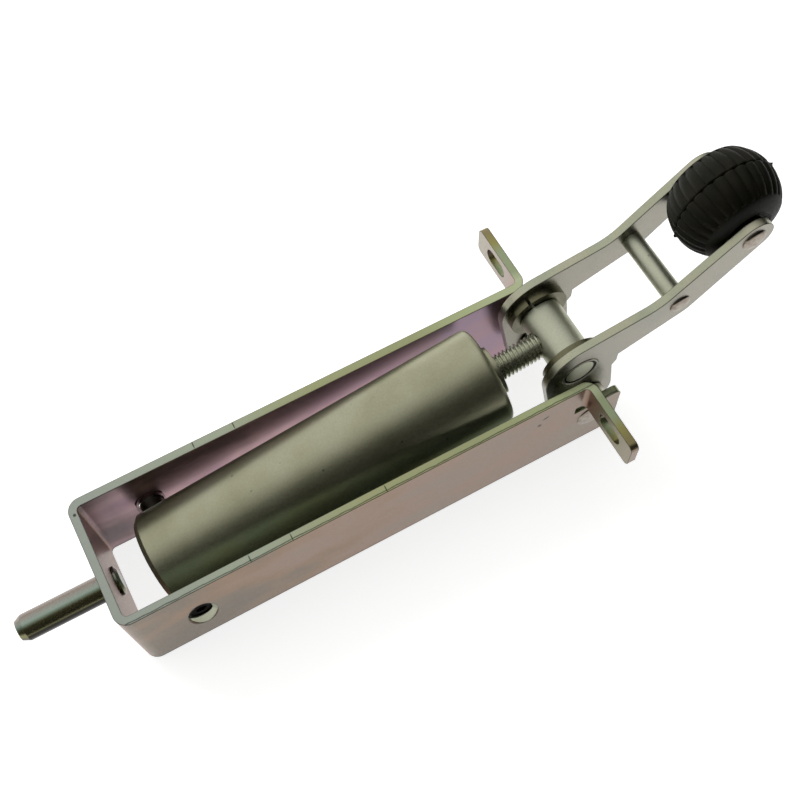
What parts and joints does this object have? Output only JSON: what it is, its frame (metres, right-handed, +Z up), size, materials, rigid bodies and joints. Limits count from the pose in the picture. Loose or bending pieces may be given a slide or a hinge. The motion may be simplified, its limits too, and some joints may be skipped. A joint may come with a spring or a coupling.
{
  "type": "door damper",
  "caption": "Bent channel bracket with a tilted hydraulic cylinder whose rod is pulled out by a bell-crank lever with a ribbed rubber roller; slows a sliding door at the end of its travel.",
  "frame": {"origin": "root of the rear pin, at the middle of the bracket web's outer face", "axes": "+X from the rear web to the roller, +Y to the left wall, +Z up; the rear pin points along -X"},
  "size_m": [0.24, 0.0844, 0.0803],
  "materials": {
    "yellow_zinc": "iridescent yellow passivated zinc plating",
    "clear_zinc": "clear passivated zinc plating",
    "cylinder_steel": "satin turned steel with an olive tint",
    "black_oxide": "black oxide",
    "spring_steel": "oiled spring steel",
    "black_rubber": "moulded matt rubber",
    "black_plastic": "moulded satin plastic"
  },
  "bodies": {
    "bracket": {"bracket": "yellow_zinc", "rear_pin": "yellow_zinc", "pivot_pin_left": "clear_zinc", "pivot_pin_right": "clear_zinc", "pivot_collar_left": "clear_zinc", "pivot_collar_right": "clear_zinc"},
    "lever": {"lever_plate_left": "clear_zinc", "lever_plate_right": "clear_zinc", "stay_rod": "clear_zinc", "roller_axle": "clear_zinc", "barrel_bush_left": "black_plastic", "barrel_bush_right": "black_plastic"},
    "roller": {"roller_tyre": "black_rubber", "roller_hub": "black_plastic"},
    "rod": {"cross_barrel": "clear_zinc", "piston_rod": "clear_zinc", "piston": "cylinder_steel", "piston_ring": "black_plastic", "piston_nut": "clear_zinc", "return_spring": "spring_steel"},
    "cylinder": {"cylinder_body": "cylinder_steel", "guide_bush": "cylinder_steel", "guide_seal": "black_rubber", "rod_seal": "black_rubber", "wiper_ring": "black_rubber", "floating_piston": "cylinder_steel", "floating_seal": "black_rubber", "trunnion_pin_left": "black_oxide", "trunnion_pin_right": "black_oxide"}
  },
  "joints": [
    {"name": "lever_swing", "type": "hinge", "parent": "bracket", "child": "lever", "pos_m": [0.1486, 0, -0.0032], "axis": [0, 1, 0], "range_deg": [0, 40], "stiffness_Nm_per_rad": 0.6, "springref_deg": -38.22},
    {"name": "roller_spin", "type": "hinge", "parent": "lever", "child": "roller", "pos_m": [0.1976, 0, 0.0464], "axis": [0, 1, 0], "continuous": true},
    {"name": "rod_pivot", "type": "hinge", "parent": "lever", "child": "rod", "pos_m": [0.1458, 0, 0.0166], "axis": [0, 1, 0], "range_deg": [-38.4, 0]},
    {"name": "rod_stroke", "type": "slide", "parent": "rod", "child": "cylinder", "axis": [0.9901, 0, 0.1404], "range_m": [-0.0132, 0], "deforming": ["return_spring"]}
  ],
  "couplings": [
    {"joint": "rod_pivot", "follows": "lever_swing", "ratio": -0.95927},
    {"joint": "rod_stroke", "follows": "lever_swing", "m_per_rad": -0.018872}
  ]
}
